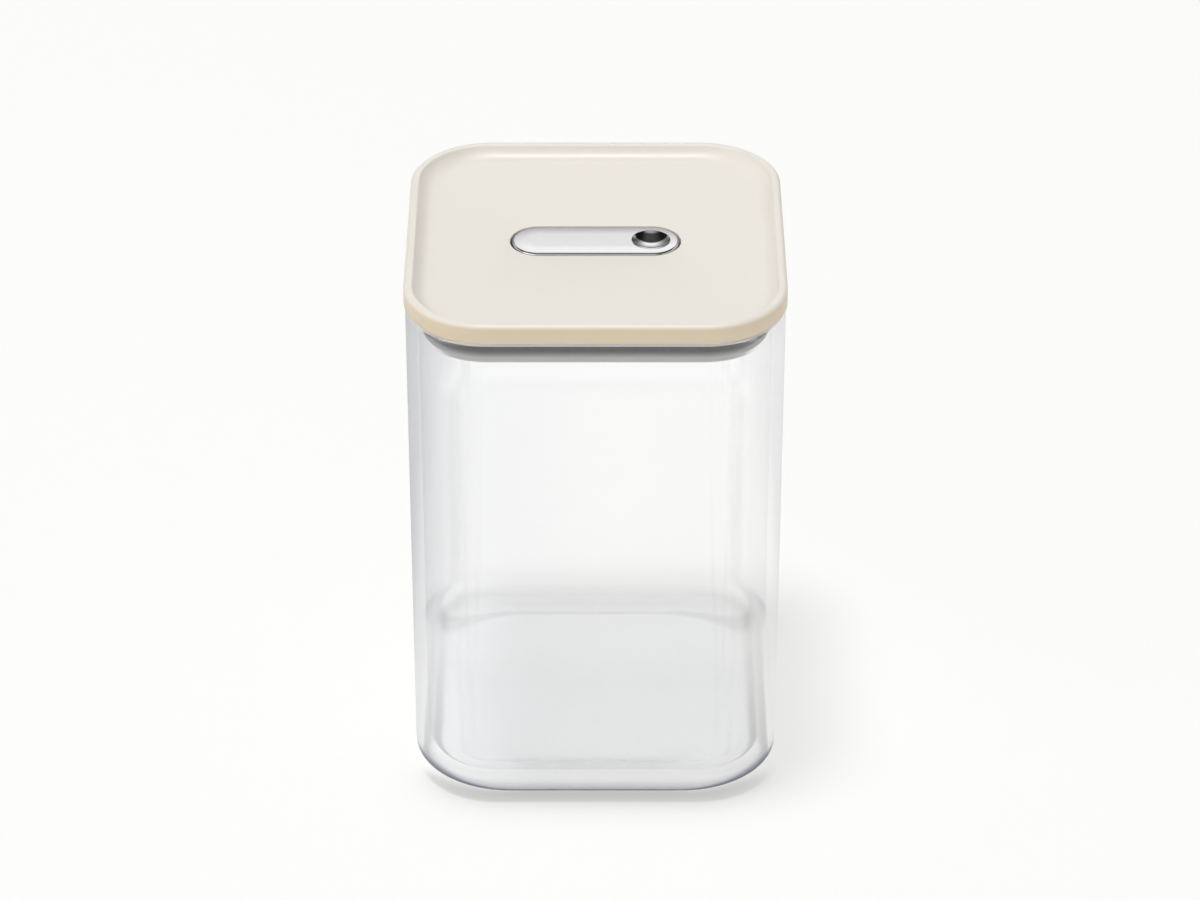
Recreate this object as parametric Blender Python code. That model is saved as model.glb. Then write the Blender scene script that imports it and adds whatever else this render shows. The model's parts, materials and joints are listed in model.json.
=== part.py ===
# Square glass pantry jar with an airtight lid.
#
# The lid's plug carries a silicone gasket. A rocking lever on top of the lid has two cams that
# hold a pressure plate up against the gasket, which bulges on the glass. Pressing the dished end
# lets the plate drop, the gasket goes slack, and the lid lifts off.
#
# Metres, +Z up, origin under the middle of the jar. The dished end of the lever points to +X.

from math import cos, pi, radians, sin

import bmesh
import bpy
from mathutils import Matrix, Vector

# Clearances
GAP = 0.0003
SLIDE_GAP = 0.0004
LEVER_GAP = 0.0007
OVERRUN = 0.0010
MERGE_DISTANCE = 0.000001

# Facets
CORNER_STEPS = 10
ROUND_STEPS = 5
SHAFT_SIDES = 20
SHARP_ANGLE = radians(32)

# Glass jar
JAR_WIDTH = 0.1290
JAR_CORNER = 0.0280
JAR_HEIGHT = 0.1905
JAR_WALL = 0.0045
FLOOR_HEIGHT = 0.0070
FLOOR_ROUND = 0.0100
BASE_ROUND = 0.0140
FOOT_CORNER = 0.0330
FOOT_WIDTH = 0.0045
PUSH_UP_HEIGHT = 0.0012
PUSH_UP_SLOPE = 0.0160

# Lid cover
LID_OVERHANG = 0.0005
RIM_HEIGHT = 0.0069
RIM_FLAT = 0.0016
RIM_ROUND = 0.0016
SKIRT_WALL = 0.0028
SKIRT_CHAMFER = 0.0004
TRAY_DEPTH = 0.0040
TRAY_COVE = 0.0046
PANEL_WALL = 0.0014
SLOT_CHAMFER = 0.0003
POST_RADIUS = 0.0035

# Lid body
BODY_WALL = 0.0020
BODY_FLOOR = 0.0020
BODY_LIFT = 0.0015
NECK_CHAMFER = 0.0008
WELL_WALL = 0.0016
WELL_FLOOR = 0.0015
SADDLE_HALF_LENGTH = 0.0092
SADDLE_ROOF = 0.0015
SEAT_RADIUS = 0.0045
SEAT_HEIGHT = 0.0020
SEAT_SINK = 0.0022
SCREW_INSET = 0.0095

# Gasket
GASKET_WIDTH = 0.0069
GASKET_HEIGHT = 0.0077
GASKET_BAND = 0.0046
GASKET_TAPER = 0.0017
GASKET_ROUND = 0.0006

# Lever and its cams
LEVER_LENGTH = 0.0576
LEVER_WIDTH = 0.0192
LEVER_THICKNESS = 0.0034
LEVER_PROUD = 0.0004
LEVER_ROUND = 0.0014
LEVER_CROWN = 0.0003
LEVER_CROWN_RUN = 0.0050
LEVER_CHAMFER = 0.0006
LEVER_SWING_GAP = 0.0014
DISH_WIDTH = 0.0136
DISH_DEPTH = 0.0023
DISH_PLACE = 0.0192
GRIP_WIDTH = 0.0110
GRIP_LENGTH = 0.0130
GRIP_DEPTH = 0.0014
GRIP_PLACE = 0.0188
CHEEK_THICKNESS = 0.0040
CHEEK_HEEL = 0.0080
CHEEK_TOE = 0.0050
CHEEK_ROUND = 0.0010
CAM_HEIGHT = 0.0052
OPEN_ANGLE = radians(20)
PLATE_STROKE = 0.0020

# Hinge pin, draw bar and pads
PIN_RADIUS = 0.00125
PIN_CHAMFER = 0.0003
PIN_BELOW_LEVER = 0.0007
BAR_LENGTH_X = 0.0054
BAR_WIDTH_Y = 0.0060
EYE_POCKET_ROOF = 0.0011
PAD_THICKNESS = 0.0008
PAD_SINK = 0.0005
PAD_MARGIN = 0.0006
BUMPER_LENGTH = 0.0060
BUMPER_WIDTH = 0.0080
BUMPER_INSET = 0.0027

# Pressure plate
PLATE_THICKNESS = 0.0028
PLATE_MARGIN = 0.0018
PLATE_ROUND = 0.0010
BOSS_WALL = 0.0018
BOSS_FLOOR = 0.0018
BOSS_ROUND = 0.0010
HUB_RADIUS = 0.0052
HUB_HEIGHT = 0.0039
HUB_ROOF = 0.0016

# Spring and washer
SPRING_WIRE = 0.0008
SPRING_RADIUS = 0.0061
SPRING_TURNS = 3
SPRING_POINTS_PER_TURN = 10
SPRING_POCKET_MARGIN = 0.0005
WASHER_THICKNESS = 0.0005

# Screws
SHANK_RADIUS = 0.0014
HEAD_RADIUS = 0.0028
HEAD_HEIGHT = 0.0015
HEAD_ROUND = 0.0005
BODY_SCREW_REACH = 0.0060
DRAW_SCREW_REACH = 0.0078
SEAL_THICKNESS = 0.0006
CAP_THICKNESS = 0.0013

# Heights worked out from the sizes above
LID_BASE = JAR_HEIGHT + GAP
LID_TOP = LID_BASE + RIM_HEIGHT
PANEL_TOP = LID_TOP - TRAY_DEPTH
PANEL_UNDER = PANEL_TOP - PANEL_WALL
BODY_TOP = PANEL_UNDER - GAP
LEVER_TOP = PANEL_TOP + LEVER_PROUD
LEVER_UNDER = LEVER_TOP - LEVER_THICKNESS
PIN_HEIGHT = LEVER_UNDER - PIN_BELOW_LEVER
PAD_TOP = PIN_HEIGHT - CAM_HEIGHT - GAP
PAD_UNDER = PAD_TOP - PAD_THICKNESS
PAD_SEAT = PAD_UNDER - GAP
SADDLE_TOP = PAD_SEAT + PAD_SINK
POCKET_TOP = PAD_SEAT - SADDLE_ROOF
GASKET_TOP = LID_BASE - GAP
GASKET_UNDER = GASKET_TOP - GASKET_HEIGHT
PLATE_TOP = GASKET_UNDER - GAP
PLATE_UNDER = PLATE_TOP - PLATE_THICKNESS
TUB_UNDER = PLATE_TOP + BODY_LIFT
TUB_FLOOR = TUB_UNDER + BODY_FLOOR
BODY_SCREW_SEAT = TUB_UNDER + SEAT_SINK - GAP
LEVER_TIP = LEVER_LENGTH / 2 - LEVER_CHAMFER
LEVER_LOW = (PIN_HEIGHT - PLATE_STROKE - LEVER_TIP * sin(OPEN_ANGLE)
             + PIN_BELOW_LEVER * cos(OPEN_ANGLE))
WELL_BOTTOM = LEVER_LOW - LEVER_SWING_GAP
WELL_UNDER = WELL_BOTTOM - WELL_FLOOR
BOSS_TOP = WELL_UNDER - GAP
BOSS_UNDER = BOSS_TOP - BOSS_FLOOR
HUB_TOP = BOSS_TOP + HUB_HEIGHT
HUB_CEILING = HUB_TOP - HUB_ROOF
BAR_UNDER = HUB_TOP + GAP

# Plan sizes worked out from the sizes above
JAR_HALF = JAR_WIDTH / 2
MOUTH_HALF = JAR_HALF - JAR_WALL
MOUTH_CORNER = JAR_CORNER - JAR_WALL
LID_HALF = JAR_HALF + LID_OVERHANG
LID_CORNER = JAR_CORNER + LID_OVERHANG
FLANGE_INSET = SKIRT_WALL + GAP
GASKET_HALF = MOUTH_HALF - GAP
GASKET_CORNER = MOUTH_CORNER - GAP
NECK_HALF = GASKET_HALF - GASKET_WIDTH - GAP
NECK_CORNER = GASKET_CORNER - GASKET_WIDTH - GAP
SCREW_PLACE = NECK_HALF - BODY_WALL - SCREW_INSET
SLOT_LENGTH = LEVER_LENGTH + 2 * LEVER_GAP
SLOT_WIDTH = LEVER_WIDTH + 2 * LEVER_GAP
CHEEK_INNER = BAR_WIDTH_Y / 2 + GAP
CHEEK_OUTER = CHEEK_INNER + CHEEK_THICKNESS
BORE_RADIUS = SHANK_RADIUS + GAP
CAM_RATE = PLATE_STROKE / OPEN_ANGLE
LEVER_LOW_X = LEVER_TIP * cos(OPEN_ANGLE) + PIN_BELOW_LEVER * sin(OPEN_ANGLE)


def finish(name, colour, roughness, metallic=0.0, clear=0.0):
    """A Principled material in linear colour."""
    material = bpy.data.materials.new(name)
    material.use_nodes = True
    shader = material.node_tree.nodes["Principled BSDF"]
    shader.inputs["Base Color"].default_value = (*colour, 1.0)
    shader.inputs["Roughness"].default_value = roughness
    shader.inputs["Metallic"].default_value = metallic
    shader.inputs["Transmission Weight"].default_value = clear
    return material


def rounded_ring(half_x, half_y, corner, height):
    """Points of a rounded rectangle, anticlockwise from +X. A pill is one whose corner is half_y."""
    points = []
    for quarter, (side_x, side_y) in enumerate(((1, 1), (-1, 1), (-1, -1), (1, -1))):
        for step in range(CORNER_STEPS + 1):
            angle = (quarter + step / CORNER_STEPS) * pi / 2
            x = side_x * (half_x - corner) + corner * cos(angle)
            y = side_y * (half_y - corner) + corner * sin(angle)
            points.append(Vector((x, y, height)))
    return points


def square_rings(half, corner, profile):
    """Rounded squares along a profile of (inset, height)."""
    return [rounded_ring(half - inset, half - inset, corner - inset, height)
            for inset, height in profile]


def pill_rings(length, width, profile):
    """Pills along a profile of (inset, height)."""
    return [rounded_ring(length / 2 - inset, width / 2 - inset, width / 2 - inset, height)
            for inset, height in profile]


def circle_rings(profile):
    """Circles along a profile of (radius, height)."""
    rings = []
    for radius, height in profile:
        angles = [2 * pi * side / SHAFT_SIDES for side in range(SHAFT_SIDES)]
        rings.append([Vector((radius * cos(a), radius * sin(a), height)) for a in angles])
    return rings


def arc(centre, radii, start, end, steps=ROUND_STEPS):
    """Points on an arc of an ellipse in a profile, from one angle in degrees to another."""
    points = []
    for step in range(steps + 1):
        angle = radians(start + (end - start) * step / steps)
        points.append((centre[0] + radii[0] * cos(angle), centre[1] + radii[1] * sin(angle)))
    return points


def solid(name, mesh_builder, material=None):
    """An object from a bmesh, welded, facing outwards and shaded smooth."""
    bmesh.ops.remove_doubles(mesh_builder, verts=mesh_builder.verts, dist=MERGE_DISTANCE)
    bmesh.ops.recalc_face_normals(mesh_builder, faces=mesh_builder.faces)
    mesh = bpy.data.meshes.new(name)
    mesh_builder.to_mesh(mesh)
    mesh_builder.free()
    mesh.shade_smooth()
    mesh.set_sharp_from_angle(angle=SHARP_ANGLE)
    piece = bpy.data.objects.new(name, mesh)
    bpy.context.collection.objects.link(piece)
    if material:
        mesh.materials.append(material)
    return piece


def loft(name, rings, material=None, ring_shaped=False):
    """A closed body skinned over rings, capped at both ends or closed on itself."""
    builder = bmesh.new()
    loops = [[builder.verts.new(point) for point in ring] for ring in rings]
    spans = list(zip(loops, loops[1:]))
    if ring_shaped:
        spans.append((loops[-1], loops[0]))
    else:
        builder.faces.new(loops[0])
        builder.faces.new(loops[-1])
    for lower, upper in spans:
        for index, corner in enumerate(lower):
            after = (index + 1) % len(lower)
            builder.faces.new((corner, lower[after], upper[after], upper[index]))
    return solid(name, builder, material)


def slab(name, outline, low_y, high_y, material=None):
    """A side view in X and Z, extruded from one Y to another."""
    builder = bmesh.new()
    side = builder.faces.new([builder.verts.new((x, low_y, z)) for x, z in outline])
    grown = bmesh.ops.extrude_face_region(builder, geom=[side])
    moved = [item for item in grown["geom"] if isinstance(item, bmesh.types.BMVert)]
    bmesh.ops.translate(builder, verts=moved, vec=(0, high_y - low_y, 0))
    return solid(name, builder, material)


def block(name, low, high, material=None):
    """A box between two corners."""
    outline = ((low[0], low[2]), (high[0], low[2]), (high[0], high[2]), (low[0], high[2]))
    return slab(name, outline, low[1], high[1], material)


def rod_along_y(name, radius, low_y, high_y, chamfer=0.0, material=None):
    """A round bar along Y through the origin."""
    profile = [(radius - chamfer, low_y), (radius, low_y + chamfer),
               (radius, high_y - chamfer), (radius - chamfer, high_y)]
    if not chamfer:
        profile = [(radius, low_y), (radius, high_y)]
    piece = loft(name, circle_rings(profile), material)
    piece.data.transform(Matrix.Rotation(radians(-90), 4, "X"))
    return piece


def combine(piece, tool, operation):
    """Add a hidden tool body to a piece, or cut it out, with an exact Boolean."""
    modifier = piece.modifiers.new(tool.name, "BOOLEAN")
    modifier.operation = operation
    modifier.solver = "EXACT"
    modifier.object = tool
    tool.hide_render = True
    tool.display_type = "WIRE"
    if not tool.parent:
        tool.parent = piece.parent


def moved(piece, x=0.0, y=0.0, z=0.0):
    """The piece with its mesh shifted, its origin left where it is."""
    piece.data.transform(Matrix.Translation((x, y, z)))
    return piece


def joint_frame(name, height=0.0):
    """An empty on a joint's axis, which carries the pieces that move with it."""
    frame = bpy.data.objects.new(name, None)
    frame.location = (0, 0, height)
    bpy.context.collection.objects.link(frame)
    return frame


def screw_places():
    """Middles of the four body screws."""
    return [(side_x * SCREW_PLACE, side_y * SCREW_PLACE)
            for side_y in (-1, 1) for side_x in (-1, 1)]


def glass_jar(material):
    """Thick-walled square jar with a rounded base, a foot ring and a fire-polished rim."""
    def base_ring(inset, height):
        """Ring of the rounded base, whose corners grow rounder towards the foot."""
        corner = JAR_CORNER + (FOOT_CORNER - JAR_CORNER) * inset / BASE_ROUND
        return rounded_ring(JAR_HALF - inset, JAR_HALF - inset, corner, height)

    foot = square_rings(JAR_HALF - BASE_ROUND, FOOT_CORNER,
                        [(FOOT_WIDTH + PUSH_UP_SLOPE, PUSH_UP_HEIGHT), (FOOT_WIDTH, 0)])
    base = [base_ring(inset, height) for inset, height in
            arc((BASE_ROUND, BASE_ROUND), (BASE_ROUND, BASE_ROUND), 270, 180)]
    rim_radius = JAR_WALL / 2
    rim = arc((rim_radius, JAR_HEIGHT - rim_radius), (rim_radius, rim_radius), 180, 0,
              2 * ROUND_STEPS)
    floor = arc((JAR_WALL + FLOOR_ROUND, FLOOR_HEIGHT + FLOOR_ROUND),
                (FLOOR_ROUND, FLOOR_ROUND), 180, 270)
    inside = square_rings(JAR_HALF, JAR_CORNER, rim + floor)
    return loft("glass_jar", foot + base + inside, material)


def lid_cover(material, frame):
    """Tray-topped cover: raised rim, coved panel, pill slot, skirt and four screw posts."""
    rim_inner = RIM_ROUND + RIM_FLAT
    outline = [(SKIRT_CHAMFER, LID_BASE), (0, LID_BASE + SKIRT_CHAMFER)]
    outline += arc((RIM_ROUND, LID_TOP - RIM_ROUND), (RIM_ROUND, RIM_ROUND), 180, 90)
    outline += arc((rim_inner + TRAY_COVE, LID_TOP), (TRAY_COVE, TRAY_DEPTH), 180, 270)
    skirt = [(SKIRT_WALL, PANEL_UNDER), (SKIRT_WALL, LID_BASE)]
    slot = [(-SLOT_CHAMFER, PANEL_TOP), (0, PANEL_TOP - SLOT_CHAMFER), (0, PANEL_UNDER)]
    rings = square_rings(LID_HALF, LID_CORNER, outline)
    rings += pill_rings(SLOT_LENGTH, SLOT_WIDTH, slot)
    rings += square_rings(LID_HALF, LID_CORNER, skirt)
    cover = loft("lid_cover", rings, material, ring_shaped=True)
    cover.parent = frame
    post_end = TUB_FLOOR + SEAT_HEIGHT + GAP
    pilot_end = BODY_SCREW_SEAT + BODY_SCREW_REACH + GAP
    for number, (x, y) in enumerate(screw_places(), 1):
        post = [(POST_RADIUS, post_end), (POST_RADIUS, PANEL_UNDER + PANEL_WALL / 2)]
        combine(cover, moved(loft(f"post_{number}", circle_rings(post)), x, y), "UNION")
    for number, (x, y) in enumerate(screw_places(), 1):
        pilot = [(BORE_RADIUS, post_end - OVERRUN), (BORE_RADIUS, pilot_end)]
        combine(cover, moved(loft(f"pilot_{number}", circle_rings(pilot)), x, y), "DIFFERENCE")
    return cover


def lid_body_shell(material):
    """Flanged tub with the pill-shaped lever well sunk through its floor."""
    well = pill_rings(SLOT_LENGTH, SLOT_WIDTH,
                      [(0, WELL_BOTTOM), (0, BODY_TOP), (-WELL_WALL, BODY_TOP),
                       (-WELL_WALL, TUB_FLOOR)])
    tub = square_rings(NECK_HALF, NECK_CORNER, [(BODY_WALL, TUB_FLOOR), (BODY_WALL, BODY_TOP)])
    flange = square_rings(LID_HALF, LID_CORNER,
                          [(FLANGE_INSET, BODY_TOP), (FLANGE_INSET, LID_BASE)])
    neck = square_rings(NECK_HALF, NECK_CORNER,
                        [(0, LID_BASE), (0, TUB_UNDER + NECK_CHAMFER), (NECK_CHAMFER, TUB_UNDER)])
    sink = pill_rings(SLOT_LENGTH, SLOT_WIDTH,
                      [(-WELL_WALL, TUB_UNDER), (-WELL_WALL, WELL_UNDER)])
    return loft("lid_body", well + tub + flange + neck + sink, material)


def pad_extent(side):
    """Low and high X, then low and high Y, of the cam pad on one side."""
    reach = sorted((side * (CHEEK_INNER - PAD_MARGIN / 2), side * (CHEEK_OUTER + PAD_MARGIN / 2)))
    return -CHEEK_HEEL - PAD_MARGIN, CHEEK_TOE + PAD_MARGIN, reach[0], reach[1]


def lid_body(material, frame):
    """The shell with its cam saddle, spring pocket, bar slot, pad seats and screw seats."""
    body = lid_body_shell(material)
    body.parent = frame
    saddle_y = SLOT_WIDTH / 2 + WELL_WALL / 2
    saddle = block("saddle", (-SADDLE_HALF_LENGTH, -saddle_y, WELL_BOTTOM - WELL_FLOOR / 2),
                   (SADDLE_HALF_LENGTH, saddle_y, SADDLE_TOP))
    combine(body, saddle, "UNION")
    for number, (x, y) in enumerate(screw_places(), 1):
        seat = [(SEAT_RADIUS, TUB_FLOOR - BODY_FLOOR / 2), (SEAT_RADIUS, TUB_FLOOR + SEAT_HEIGHT)]
        combine(body, moved(loft(f"seat_{number}", circle_rings(seat)), x, y), "UNION")
    pocket_radius = SPRING_RADIUS + SPRING_WIRE / 2 + SPRING_POCKET_MARGIN
    pocket = [(pocket_radius, WELL_UNDER - OVERRUN), (pocket_radius, POCKET_TOP)]
    combine(body, loft("spring_pocket", circle_rings(pocket)), "DIFFERENCE")
    slot_x = BAR_LENGTH_X / 2 + GAP
    slot_y = BAR_WIDTH_Y / 2 + GAP
    slot = block("bar_slot", (-slot_x, -slot_y, POCKET_TOP - OVERRUN),
                 (slot_x, slot_y, SADDLE_TOP + OVERRUN))
    combine(body, slot, "DIFFERENCE")
    for name, side in (("front", -1), ("back", 1)):
        low_x, high_x, low_y, high_y = pad_extent(side)
        seat = block(f"pad_seat_{name}", (low_x - GAP, low_y - GAP, PAD_SEAT),
                     (high_x + GAP, high_y + GAP, SADDLE_TOP + OVERRUN))
        combine(body, seat, "DIFFERENCE")
    for number, (x, y) in enumerate(screw_places(), 1):
        shoulder = TUB_UNDER + SEAT_SINK
        bore = [(HEAD_RADIUS + GAP, TUB_UNDER - OVERRUN), (HEAD_RADIUS + GAP, shoulder),
                (BORE_RADIUS, shoulder), (BORE_RADIUS, TUB_FLOOR + SEAT_HEIGHT + OVERRUN)]
        combine(body, moved(loft(f"bore_{number}", circle_rings(bore)), x, y), "DIFFERENCE")
    return body


def gasket(material, frame):
    """Silicone ring: an upright band that meets the glass, drawn in towards the plate."""
    band_end = GASKET_TOP - GASKET_BAND
    outer = [(GASKET_ROUND, GASKET_TOP)]
    outer += arc((GASKET_ROUND, GASKET_TOP - GASKET_ROUND), (GASKET_ROUND, GASKET_ROUND), 90, 180, 3)[1:]
    outer += arc((GASKET_TAPER, band_end), (GASKET_TAPER, band_end - GASKET_UNDER), 180, 270)
    inner = [(GASKET_WIDTH, GASKET_UNDER), (GASKET_WIDTH, GASKET_TOP)]
    rings = square_rings(GASKET_HALF, GASKET_CORNER, outer + inner)
    ring = loft("gasket", rings, material, ring_shaped=True)
    ring.parent = frame
    return ring


def cam_pads(material, frame):
    """Two steel strips on the saddle that the cams bear on."""
    for name, side in (("front", -1), ("back", 1)):
        low_x, high_x, low_y, high_y = pad_extent(side)
        pad = block(f"cam_pad_{name}", (low_x, low_y, PAD_UNDER), (high_x, high_y, PAD_TOP),
                    material)
        pad.parent = frame


def lever_bumper(material, frame):
    """Soft wedge on the well's floor that the dished end comes down on, sloped like the lever."""
    high_x = LEVER_LENGTH / 2 - BUMPER_INSET
    low_x = high_x - BUMPER_LENGTH

    def top(x):
        """Height of the open lever's underside, less the gap."""
        return LEVER_LOW + (LEVER_LOW_X - x) * sin(OPEN_ANGLE) / cos(OPEN_ANGLE) - GAP

    base = WELL_BOTTOM + GAP
    outline = ((low_x, base), (high_x, base), (high_x, top(high_x)), (low_x, top(low_x)))
    bumper = slab("lever_bumper", outline, -BUMPER_WIDTH / 2, BUMPER_WIDTH / 2, material)
    bumper.parent = frame


def return_spring(material, frame):
    """Round-wire helix that pushes the plate down off the gasket."""
    low = BOSS_TOP + GAP + WASHER_THICKNESS + GAP + SPRING_WIRE / 2
    high = POCKET_TOP - GAP - SPRING_WIRE / 2
    curve = bpy.data.curves.new("return_spring", "CURVE")
    curve.dimensions = "3D"
    curve.bevel_depth = SPRING_WIRE / 2
    curve.bevel_resolution = 1
    curve.use_fill_caps = True
    count = SPRING_TURNS * SPRING_POINTS_PER_TURN
    coil = curve.splines.new("POLY")
    coil.points.add(count)
    for index, point in enumerate(coil.points):
        angle = 2 * pi * index / SPRING_POINTS_PER_TURN
        height = low + (high - low) * index / count
        point.co = (SPRING_RADIUS * cos(angle), SPRING_RADIUS * sin(angle), height, 1)
    curve.materials.append(material)
    spring = bpy.data.objects.new("return_spring", curve)
    bpy.context.collection.objects.link(spring)
    spring.parent = frame
    print("return_spring gap between turns, mm:",
          round(1000 * ((high - low) / SPRING_TURNS - SPRING_WIRE), 3))


def screw(name, head_under, reach, head_down, material, frame, x=0.0, y=0.0):
    """Pan-head screw with its head's seat at one height and its shank upwards."""
    head_end = head_under - head_down
    profile = [(HEAD_RADIUS - HEAD_ROUND, head_end), (HEAD_RADIUS, head_end + HEAD_ROUND),
               (HEAD_RADIUS, head_under), (SHANK_RADIUS, head_under),
               (SHANK_RADIUS, head_under + reach - SHANK_RADIUS / 2),
               (SHANK_RADIUS / 2, head_under + reach)]
    piece = moved(loft(name, circle_rings(profile), material), x, y)
    piece.parent = frame


def body_screws(material, frame):
    """Four screws up through the tub's floor into the cover's posts."""
    for number, (x, y) in enumerate(screw_places(), 1):
        screw(f"body_screw_{number}", BODY_SCREW_SEAT, BODY_SCREW_REACH, HEAD_HEIGHT,
              material, frame, x, y)


def pressure_plate(material, frame):
    """Plate under the gasket, with a pill boss that nests round the well and a screw hub."""
    nest_length = SLOT_LENGTH + 2 * (WELL_WALL + SLIDE_GAP)
    nest_width = SLOT_WIDTH + 2 * (WELL_WALL + SLIDE_GAP)
    nest = pill_rings(nest_length, nest_width, [(0, BOSS_TOP), (0, PLATE_TOP)])
    edge = [(PLATE_ROUND, PLATE_TOP)]
    edge += arc((PLATE_ROUND, PLATE_TOP - PLATE_ROUND), (PLATE_ROUND, PLATE_ROUND), 90, 180, 3)[1:]
    edge += arc((PLATE_ROUND, PLATE_UNDER + PLATE_ROUND), (PLATE_ROUND, PLATE_ROUND), 180, 270, 3)
    rim = square_rings(MOUTH_HALF - PLATE_MARGIN, MOUTH_CORNER - PLATE_MARGIN, edge)
    boss = [(-BOSS_WALL - BOSS_ROUND, PLATE_UNDER), (-BOSS_WALL, PLATE_UNDER - BOSS_ROUND),
            (-BOSS_WALL, BOSS_UNDER + BOSS_ROUND), (BOSS_ROUND - BOSS_WALL, BOSS_UNDER)]
    rings = nest + rim + pill_rings(nest_length, nest_width, boss)
    plate = loft("pressure_plate", rings, material)
    plate.parent = frame
    hub = [(HUB_RADIUS, BOSS_TOP - BOSS_FLOOR / 2), (HUB_RADIUS, HUB_TOP)]
    combine(plate, loft("hub", circle_rings(hub)), "UNION")
    bore = [(HEAD_RADIUS + GAP, BOSS_UNDER - OVERRUN), (HEAD_RADIUS + GAP, HUB_CEILING),
            (BORE_RADIUS, HUB_CEILING), (BORE_RADIUS, HUB_TOP + OVERRUN)]
    combine(plate, loft("hub_bore", circle_rings(bore)), "DIFFERENCE")
    return plate


def draw_bar(material, frame):
    """Flat bar that hangs the plate from the hinge pin: round eye on top, tapped from below."""
    half = BAR_LENGTH_X / 2
    outline = [(-half, BAR_UNDER), (half, BAR_UNDER)]
    outline += arc((0, PIN_HEIGHT), (half, half), 0, 180, 2 * ROUND_STEPS)
    bar = slab("draw_bar", outline, -BAR_WIDTH_Y / 2, BAR_WIDTH_Y / 2, material)
    bar.parent = frame
    reach = BAR_WIDTH_Y / 2 + OVERRUN
    eye = rod_along_y("eye_bore", PIN_RADIUS + GAP, -reach, reach)
    combine(bar, moved(eye, z=PIN_HEIGHT), "DIFFERENCE")
    tapping = [(BORE_RADIUS, BAR_UNDER - OVERRUN), (BORE_RADIUS, draw_screw_tip() + GAP)]
    combine(bar, loft("tapping", circle_rings(tapping)), "DIFFERENCE")


def draw_screw_seat():
    """Height of the draw screw's head seat, under its sealing washer."""
    return HUB_CEILING - GAP - SEAL_THICKNESS - GAP


def draw_screw_tip():
    """Height of the draw screw's end."""
    return draw_screw_seat() + DRAW_SCREW_REACH


def plate_fixings(steel, rubber, cream, frame):
    """Draw screw with its sealing washer and cap, and the washer under the spring."""
    screw("draw_screw", draw_screw_seat(), DRAW_SCREW_REACH, HEAD_HEIGHT - HEAD_ROUND / 2,
          steel, frame)
    seal_top = HUB_CEILING - GAP
    seal = [(BORE_RADIUS, seal_top), (HEAD_RADIUS, seal_top),
            (HEAD_RADIUS, seal_top - SEAL_THICKNESS), (BORE_RADIUS, seal_top - SEAL_THICKNESS)]
    loft("screw_seal", circle_rings(seal), rubber, ring_shaped=True).parent = frame
    cap = [(HEAD_RADIUS - HEAD_ROUND / 2, BOSS_UNDER), (HEAD_RADIUS, BOSS_UNDER + HEAD_ROUND / 2),
           (HEAD_RADIUS, BOSS_UNDER + CAP_THICKNESS)]
    loft("screw_cap", circle_rings(cap), cream).parent = frame
    washer_low = BOSS_TOP + GAP
    washer_inner = HUB_RADIUS + GAP
    washer_outer = SPRING_RADIUS + SPRING_WIRE
    washer = [(washer_inner, washer_low), (washer_outer, washer_low),
              (washer_outer, washer_low + WASHER_THICKNESS),
              (washer_inner, washer_low + WASHER_THICKNESS)]
    loft("spring_washer", circle_rings(washer), steel, ring_shaped=True).parent = frame


def cam_outline(top):
    """Side view of a cheek round the pin: flat heel, involute flank, straight toe.

    The flank lets the pin drop at a steady rate as the lever turns, with the contact CAM_RATE
    behind the pin. The toe lies flat on its pad when the lever is fully open.
    """
    outline = [(-CHEEK_HEEL, top), (-CHEEK_HEEL, CHEEK_ROUND - CAM_HEIGHT),
               (CHEEK_ROUND - CHEEK_HEEL, -CAM_HEIGHT)]
    for step in range(ROUND_STEPS + 1):
        angle = OPEN_ANGLE * step / ROUND_STEPS
        reach = CAM_HEIGHT - CAM_RATE * angle
        outline.append((reach * sin(angle) - CAM_RATE * cos(angle),
                        -reach * cos(angle) - CAM_RATE * sin(angle)))
    flank_x, flank_z = outline[-1]
    toe_z = flank_z + (CHEEK_TOE - flank_x) * sin(OPEN_ANGLE) / cos(OPEN_ANGLE)
    outline += [(CHEEK_TOE, toe_z), (CHEEK_TOE + CHEEK_ROUND, toe_z + CHEEK_ROUND),
                (CHEEK_TOE + CHEEK_ROUND, top)]
    return outline


def lever_top():
    """The lever's pill plate, modelled round the pin: chamfered under, rolled over, crowned."""
    top = LEVER_TOP - PIN_HEIGHT
    under = LEVER_UNDER - PIN_HEIGHT
    shoulder = top - LEVER_CROWN
    profile = [(LEVER_CHAMFER, under), (0, under + LEVER_CHAMFER)]
    profile += arc((LEVER_ROUND, shoulder - LEVER_ROUND), (LEVER_ROUND, LEVER_ROUND), 180, 90)
    profile += [(LEVER_ROUND + LEVER_CROWN_RUN / 2, shoulder + LEVER_CROWN * 3 / 4),
                (LEVER_ROUND + LEVER_CROWN_RUN, top)]
    return pill_rings(LEVER_LENGTH, LEVER_WIDTH, profile)


def dish_cutter():
    """Ball whose lower cap is the finger dish."""
    half = DISH_WIDTH / 2
    radius = (half * half + DISH_DEPTH * DISH_DEPTH) / (2 * DISH_DEPTH)
    builder = bmesh.new()
    bmesh.ops.create_uvsphere(builder, u_segments=3 * SHAFT_SIDES // 2, v_segments=SHAFT_SIDES,
                              radius=radius)
    ball = solid("dish", builder)
    return moved(ball, DISH_PLACE, 0, LEVER_TOP - PIN_HEIGHT - DISH_DEPTH + radius)


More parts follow.
